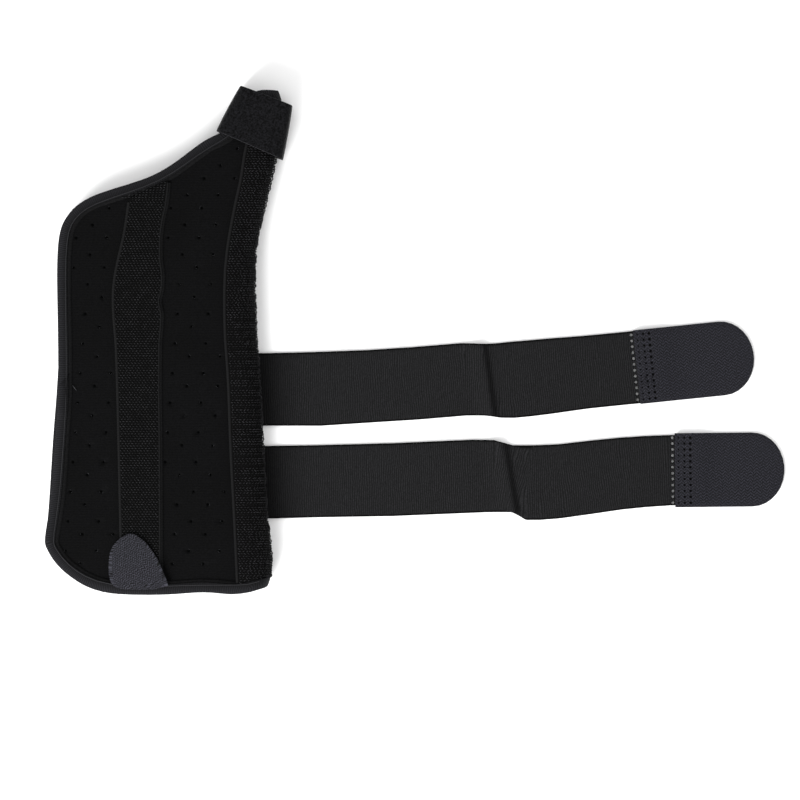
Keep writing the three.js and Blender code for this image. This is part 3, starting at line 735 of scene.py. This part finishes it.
for row, (y, outermost) in enumerate(zip(heights, outer)):
    if outermost is None and y > hem_fold.y:
        continue
    fold_x = hem_fold.x if outermost is None else outermost.x
    left = tape_edge("radial_loop_tape", y, low[0] - radial_clear, fold_x - radial_across)
    axis = Vector((fold_x - fold_radius, y, fold_middle))
    walk = [look_down("radial_loop_tape", x, y)
            for x in np.arange(left + selvage_width, axis.x, walk_step)]
    for degrees in range(0, 181, fold_step):
        out = Vector((math.sin(math.radians(degrees)), 0, math.cos(math.radians(degrees))))
        walk.append(radial_tree.ray_cast(axis + out * ray_radii * fold_radius, -out)[:2])
    walk += [look_down("radial_loop_tape", x, y, -1)
             for x in np.arange(axis.x, axis.x - radial_under, -walk_step)]
    walk = [(point, normal) for point, normal in walk if point is not None]
    gathered = gather_low < y < gather_high and row % gather_rows == 0
    gather_from = axis.x - shuffle.uniform(*gather_reach) * mm
    way = 0.0
    due = (row % 2) * loop_pitch / 2
    for (before, _), (point, normal) in zip(walk, walk[1:]):
        step = (point - before).length
        if step > walk_gap:
            break
        way += step
        if way < due:
            continue
        due += loop_pitch * shuffle.uniform(*radial_pitches)
        turn = loop_turn * (1 if row % 2 else -1) + shuffle.normal(0, radial_turns)
        size = shuffle.uniform(*radial_sizes)
        if gathered and point.x > gather_from:
            size *= gather_size
        side_stands = front_stands if normal.z > 0 else under_stands
        side_stands.append(loop_stand(point, normal, turn, size))
    if outermost is not None and shuffle.random() < fringe_share:
        turn = shuffle.normal(0, fringe_turns)
        fringe_stands.append(loop_stand(outermost, to_right, turn, shuffle.uniform(*fringe_sizes)))
    elif y > hem_fold.y - filler_rows * loop_row:
        for count in range(filler_loops):
            behind = tape_wall * (1 + count % 2)
            height = fold_middle + (count - filler_loops / 2) * loop_thread
            spot = Vector((fold_x - behind, y + loop_row / 2, height))
            turn = shuffle.uniform(0, math.pi)
            fringe_stands.append(loop_stand(spot, to_right, turn, shuffle.uniform(*fringe_sizes)))
    point, _ = look_down("radial_loop_tape", left + selvage_inset, y)
    if point is not None and row % 2 == 0:
        radial_edge.append(point - Vector((0, 0, selvage_sink)))
fringe = bent_thread(fringe_bend, fringe_thread, steps=fringe_steps)
going = [
    plant("radial_tape_front_loops", loop, front_stands, pile),
    plant("radial_tape_under_loops", loop, under_stands, pile),
    plant("radial_tape_fringe", fringe, fringe_stands, pile),
    cord_mesh("radial_tape_selvage", radial_edge, selvage_radius, selvage),
]
bm = cad_bmesh("radial_loop_tape")
soften(bm, ground_round)
piece = finish_mesh("radial_tape_ground", bm, ground)
subdivide(piece, 1)
for each in (piece, *going):
    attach(each, "root")
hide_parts("radial_loop_tape")

# A band of felted loop cloth is closed round the thumb stalk. Its two cut rims are sealed smooth, and
# their faces are painted paler: a painted highlight along the band's edges.
band_axis = Vector((0.36, 0.93, 0)).normalized()
band_round = 0.35 * mm
rim_angle = 60                # degrees between the faces that meet at a rim

# Felted nylon: dark grey, mottled by its matted fibres, with a faint sheen where it turns away, and a
# painted highlight on its cut rims
mat_size = 0.8 * mm
felt, felt_shader = new_material("felted_nylon_loop_cloth", "#0d0d0e", 0.95, 0.05)
felt_shader.inputs["Sheen Weight"].default_value = 0.15
felt_shader.inputs["Sheen Roughness"].default_value = 0.3
weave = add_node(felt, "ShaderNodeAttribute", {}, output="Vector", attribute_name="weave")
place = add_node(felt, "ShaderNodeTexCoord", {}, output="Object")
matted = add_node(felt, "ShaderNodeTexNoise", {"Vector": place, "Scale": 1 / mat_size, "Detail": 2.0})
matted = add_node(felt, "ShaderNodeMapRange", {"Value": matted, "From Min": 0.35, "From Max": 0.65})
tone = add_node(felt, "ShaderNodeMix", {
    "Factor": matted, "A": linear("#030303"), "B": linear("#161618"),
}, output="Result", data_type="RGBA")
# Painted highlight: faces turned along the band's axis, at its rims, are painted paler
rim_highlight = add_node(felt, "ShaderNodeSeparateXYZ", {"Vector": weave}, output="Z")
rim_highlight = add_node(felt, "ShaderNodeMapRange", {"Value": rim_highlight, "From Min": 0.2, "From Max": 0.8})
tone = add_node(felt, "ShaderNodeMix", {
    "Factor": rim_highlight, "A": tone, "B": linear("#262628")}, output="Result", data_type="RGBA")
relief = add_node(felt, "ShaderNodeBump", {"Height": matted, "Strength": 0.6, "Distance": 0.25 * mm})
finish_shader(felt_shader, tone, relief)

bm = cad_bmesh("thumb_band")
soften(bm, band_round, rim_angle)
piece = finish_mesh("thumb_band_felt", bm, felt)
subdivide(piece, 2)
settle(piece)
# The third value marks the rim faces for the painted highlight
stored = piece.data.attributes.new("weave", "FLOAT_VECTOR", "POINT")
for v, spot in zip(piece.data.vertices, stored.data):
    spot.vector = (v.co.dot(band_axis), v.co.cross(band_axis).z, abs(v.normal.dot(band_axis)))
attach(piece, "root")
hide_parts("thumb_band")

# The pocket's tab and the ends of the straps are hook tape, turned hooks down, so that their
# woven backs show: a fine herringbone in slate grey with sealed edges.
slub_size = 0.6 * mm
tape_round = 0.3 * mm
tab_way = Vector((0.5, 0.87, 0))  # the tape's length, as it lies on the tab


def hook_tape(name, dark, pale, chevron, twill_pitch):
    """Woven nylon hook tape: a fine herringbone with a soft plastic shine."""
    material, shader = new_material(name, pale, 0.8, 0.08)
    weave = add_node(material, "ShaderNodeAttribute", {}, output="Vector", attribute_name="weave")
    along = add_node(material, "ShaderNodeSeparateXYZ", {"Vector": weave}, output="X")
    across = add_node(material, "ShaderNodeSeparateXYZ", {"Vector": weave}, output="Y")
    zigzag = add_node(material, "ShaderNodeMath", {0: along, 1: chevron / 2}, operation="PINGPONG")
    slant = add_node(material, "ShaderNodeMath", {0: zigzag, 1: across}, operation="ADD")
    slant = add_node(material, "ShaderNodeCombineXYZ", {"X": slant})
    twill = add_node(material, "ShaderNodeTexWave", {
        "Vector": slant, "Scale": band_scale(twill_pitch)}, output="Fac", bands_direction="X")
    twill = add_node(material, "ShaderNodeMapRange", {"Value": twill, "From Min": 0.1, "From Max": 0.9})
    slubs = add_node(material, "ShaderNodeTexNoise", {
        "Vector": weave, "Scale": 1 / slub_size, "Detail": 2.0})
    tone = add_node(material, "ShaderNodeMix", {
        "Factor": twill, "A": linear(dark), "B": linear(pale)}, output="Result", data_type="RGBA")
    speck = add_node(material, "ShaderNodeMapRange", {
        "Value": slubs, "From Min": 0.35, "From Max": 0.65, "To Min": 0.35, "To Max": 1.65})
    tone = add_node(material, "ShaderNodeVectorMath", {
        0: tone, "Scale": speck}, output="Vector", operation="SCALE")
    relief = add_node(material, "ShaderNodeBump", {
        "Height": twill, "Strength": 0.5, "Distance": 0.15 * mm})
    finish_shader(shader, tone, relief)
    return material


def straight_weave(start, ahead):
    """Cloth coordinates of a straight tape: along it from its start, and across it."""
    axes = np.array([ahead, (-ahead.y, ahead.x, 0), (0, 0, 0)])
    return lambda points: (points - np.array(start)) @ axes.T


tab_material = hook_tape(
    "woven_hook_tape_grey", "#0b0b0c", "#2b2b31", chevron=2.6 * mm, twill_pitch=1.3 * mm)
tab_corner = Vector(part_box("pocket_tab")[0])
bm = cad_bmesh("pocket_tab")
soften(bm, tape_round)
piece = finish_mesh("pocket_tab_tape", bm, tab_material)
lay_weave(piece, straight_weave(tab_corner, tab_way))
subdivide(piece, 2)
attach(piece, "root")
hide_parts("pocket_tab")

# Two wrist straps of woven elastic are sewn under the sleeve, each with one crease from packing.
# Each is welded near its end on a hook tape end: a row of pins burnt through the strap, and
# three more rows only dented the tape.
strap_wall = 1.3 * mm
strap_round = 0.2 * mm
strap_steps = 230
strap_columns = 12
strap_trim = 0.0005           # share of its length left off at each end
woven_half = 19 * mm          # half its width as woven, kept at the edges where it lies narrower
crease_height = 2.3 * mm
crease_rise = 6 * mm          # over which the cloth climbs to the crest
crease_fall = 2.0 * mm        # over which it drops behind it
section_gap = 1e-7
end_squareness = 0.9          # share of an end face's normal that points along x
end_area = 4e-6
end_depth = 3 * mm
weld_radius = 0.7 * mm
weld_pitch = 3.1 * mm
weld_count = 12
weld_gap = 0.5 * mm
weld_sides = 12
dent_radius = 0.6 * mm
dent_sizes = (0.8, 1.05, 1.3)     # row by row from the weld, as shares of the radius
dent_depth = 0.6 * mm
dent_start = 1.9 * mm         # from the tape's cut edge to the first row
dent_taper = 0.2
dent_sides = 10
hook_cuts = 3
hook_cut_from = 6 * mm
hook_sharp = math.radians(30)
pins = [(k - (weld_count - 1) / 2) * weld_pitch for k in range(weld_count)]
up = Vector((0, 0, 1))

# Woven elastic: dark grey, with fine ribs across it that waver, darker along its edges, and with
# painted shade in the crease and beside the sleeve
strap_rib = 1.1 * mm
dark_edge = 1.3 * mm
shaded_from = 18 * mm         # the shade beside the sleeve fades out from here
shaded_to = 46 * mm           # to here along the strap
crease_core = 0.3 * mm        # darkest so near the crease
crease_shade = 2.2 * mm       # and no darker than the rest beyond this
elastic, elastic_shader = new_material("woven_elastic_webbing", "#131314", 0.9, 0.1)
weave = add_node(elastic, "ShaderNodeAttribute", {}, output="Vector", attribute_name="weave")
ribs = add_node(elastic, "ShaderNodeTexWave", {
    "Vector": weave, "Scale": band_scale(strap_rib),
    "Distortion": 4.5, "Detail": 1.0, "Detail Scale": 0.4,
}, output="Fac", bands_direction="X")
grit = add_node(elastic, "ShaderNodeTexNoise", {
    "Vector": weave, "Scale": 1 / slub_size, "Detail": 2.0})
weft = add_node(elastic, "ShaderNodeMapRange", {"Value": ribs, "To Min": 0.45, "To Max": 1.55})
speck = add_node(elastic, "ShaderNodeMapRange", {
    "Value": grit, "From Min": 0.35, "From Max": 0.65, "To Min": 0.5, "To Max": 1.5})
along = add_node(elastic, "ShaderNodeSeparateXYZ", {"Vector": weave}, output="X")
across = add_node(elastic, "ShaderNodeSeparateXYZ", {"Vector": weave}, output="Y")
past_crease = add_node(elastic, "ShaderNodeSeparateXYZ", {"Vector": weave}, output="Z")
# Painted shade: the sleeve's shadow on the strap, fading out along it from the root
sleeve_painted_shade = add_node(elastic, "ShaderNodeMapRange", {
    "Value": along, "From Min": shaded_from, "From Max": shaded_to, "To Min": 0.6, "To Max": 1.0,
}, interpolation_type="SMOOTHSTEP")
across = add_node(elastic, "ShaderNodeMath", {0: across}, operation="ABSOLUTE")
edges = add_node(elastic, "ShaderNodeMapRange", {
    "Value": across, "From Min": woven_half - dark_edge, "From Max": woven_half - dark_edge / 2,
    "To Min": 1.0, "To Max": 0.05})
# Painted shade in the crease, where the cloth slopes away from the light
past_crease = add_node(elastic, "ShaderNodeMath", {0: past_crease}, operation="ABSOLUTE")
crease_painted_shade = add_node(elastic, "ShaderNodeMapRange", {
    "Value": past_crease, "From Min": crease_core, "From Max": crease_shade,
    "To Min": 0.55, "To Max": 1.0,
}, interpolation_type="SMOOTHSTEP")
shade = add_node(elastic, "ShaderNodeMath", {0: weft, 1: speck}, operation="MULTIPLY")
for part in (sleeve_painted_shade, edges, crease_painted_shade):
    shade = add_node(elastic, "ShaderNodeMath", {0: shade, 1: part}, operation="MULTIPLY")
tone = add_node(elastic, "ShaderNodeVectorMath", {
    0: linear("#141415")[:3], "Scale": shade}, output="Vector", operation="SCALE")
relief = add_node(elastic, "ShaderNodeBump", {"Height": ribs, "Strength": 0.5, "Distance": 0.15 * mm})
finish_shader(elastic_shader, tone, relief)

# Melted nylon: almost black, in the welds; in the dents of the hook ends the same near black is painted
# shade in their hollows
weld_melt_and_dent_shade, weld_melt_and_dent_shade_shader = new_material("melted_nylon_weld_and_painted_dent_shade", "#040405", 0.7, 0.05)
place = add_node(weld_melt_and_dent_shade, "ShaderNodeTexCoord", {}, output="Object")
burnt = add_node(weld_melt_and_dent_shade, "ShaderNodeTexNoise", {"Vector": place, "Scale": 1 / slub_size})
tone = add_node(weld_melt_and_dent_shade, "ShaderNodeMix", {
    "Factor": burnt, "A": linear("#020202"), "B": linear("#080809")}, output="Result", data_type="RGBA")
finish_shader(weld_melt_and_dent_shade_shader, tone)

hook_material = hook_tape(
    "woven_hook_tape_slate", "#131315", "#222228", chevron=3.3 * mm, twill_pitch=1.6 * mm)


def end_face(bm, side):
    """The middle and the level normal of a strap's end face: 1 for its +X end, -1 for the other."""
    walls = [f for f in bm.faces if f.normal.x * side > end_squareness and f.calc_area() > end_area]
    furthest = max(f.calc_center_median().x * side for f in walls)
    walls = [f for f in walls if f.calc_center_median().x * side > furthest - end_depth]
    middle = sum((f.calc_center_median() for f in walls), Vector()) / len(walls)
    normal = sum((f.normal for f in walls), Vector()).normalized()
    return middle, normal


def strap_sections(node):
    """The two edges of a strap's CAD solid at even steps from its root to its end."""
    source = cad_bmesh(node)
    root, root_normal = end_face(source, -1)
    end, end_normal = end_face(source, 1)
    sections = []
    for share in np.linspace(strap_trim, 1 - strap_trim, strap_steps + 1):
        spot = root.lerp(end, share)
        normal = (-root_normal).lerp(end_normal, share).normalized()
        side = Vector((-normal.y, normal.x, 0))
        cut = source.copy()
        found = bmesh.ops.bisect_plane(
            cut, geom=cut.verts[:] + cut.edges[:] + cut.faces[:], dist=section_gap,
            plane_co=spot, plane_no=normal)
        corners = [g.co for g in found["geom_cut"] if isinstance(g, bmesh.types.BMVert)]
        offsets = [(corner - spot).dot(side) for corner in corners]
        cut.free()
        sections.append((spot + side * min(offsets), spot + side * max(offsets)))
    source.free()
    return sections


for strap, hook, crease, lean, strap_flat, hook_flat in (
    ("upper_strap", "upper_hook_end", Vector((39.7 * mm, -21 * mm, 0)), -0.148,
     (38 * mm, 232 * mm), (38.8 * mm, 61.7 * mm)),
    ("lower_strap", "lower_hook_end", Vector((50.9 * mm, -72.4 * mm, 0)), -0.172,
     (38 * mm, 252 * mm), (38.8 * mm, 57.4 * mm)),
):
    bm = cad_bmesh(hook)
    cut_edge, back = end_face(bm, -1)
    ahead = -back
    side = Vector((-ahead.y, ahead.x, 0))
    long_edges = [e for e in bm.edges if e.calc_length() > hook_cut_from]
    bmesh.ops.subdivide_edges(bm, edges=long_edges, cuts=hook_cuts, use_grid_fill=True)
    soften(bm, tape_round)
    hook_end = finish_mesh(f"{hook}_tape", bm, hook_material)
    dents = []
    for row, size in enumerate(dent_sizes):
        for pin in pins:
            spot = cut_edge + ahead * (row * weld_pitch + dent_start) + side * pin
            point, _ = look_down(hook, spot.x, spot.y)
            dents.append((point, up, dent_radius * size))
    # The dents take the near-black melt material: painted shade in their hollows
    punch(hook_end, dents, 2 * dent_depth, dent_taper, dent_sides, weld_melt_and_dent_shade)
    hook_end.data.set_sharp_from_angle(angle=hook_sharp)
    lay_weave(hook_end, straight_weave(cut_edge, ahead))

    # The strap is a grid laid between its two edges, raised into the crease
    sections = strap_sections(strap)
    bm = bmesh.new()
    bmesh.ops.create_grid(bm, x_segments=strap_steps, y_segments=strap_columns, size=0.5)
    crest = Vector((crease.x - crease_fall, crease.y))
    for v in bm.verts:
        lower, upper = sections[round((v.co.x + 0.5) * strap_steps)]
        spot = lower.lerp(upper, v.co.y + 0.5)
        past = spot.x - crest.x - lean * (spot.y - crest.y)
        rise = crease_height * math.exp(-(past / (crease_fall if past > 0 else crease_rise)) ** 2)
        v.co = (spot.x, spot.y, strap_wall + rise)
    bmesh.ops.solidify(bm, geom=bm.faces[:], thickness=strap_wall)
    bmesh.ops.recalc_face_normals(bm, faces=bm.faces)
    soften(bm, strap_round)
    cloth = finish_mesh(f"{strap}_elastic", bm, elastic)
    holes = []
    for pin in pins:
        spot = cut_edge - ahead * (weld_radius + weld_gap) + side * pin
        holes.append((Vector((spot.x, spot.y, strap_wall / 2)), up, weld_radius))
    punch(cloth, holes, 4 * strap_wall, 0, weld_sides, weld_melt_and_dent_shade)
    line = [(a + b) / 2 for a, b in sections]
    halves = [(a - b).length / 2 for a, b in sections]
    locate = along_line(line)
    ways = locate(np.array(line))[:, 0]

    def strap_weave(points):
        """Cloth coordinates of a strap: along it, across it as woven, and past its crease."""
        spots = locate(points)
        spots[:, 1] *= woven_half / np.interp(spots[:, 0], ways, halves)
        spots[:, 2] = points[:, 0] - crease.x - lean * (points[:, 1] - crease.y)
        return spots

    lay_weave(cloth, strap_weave)
    for each, node, slot in ((cloth, strap, "strap_elastic"), (hook_end, hook, "hook_tape")):
        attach(each, "root")
        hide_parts(node)
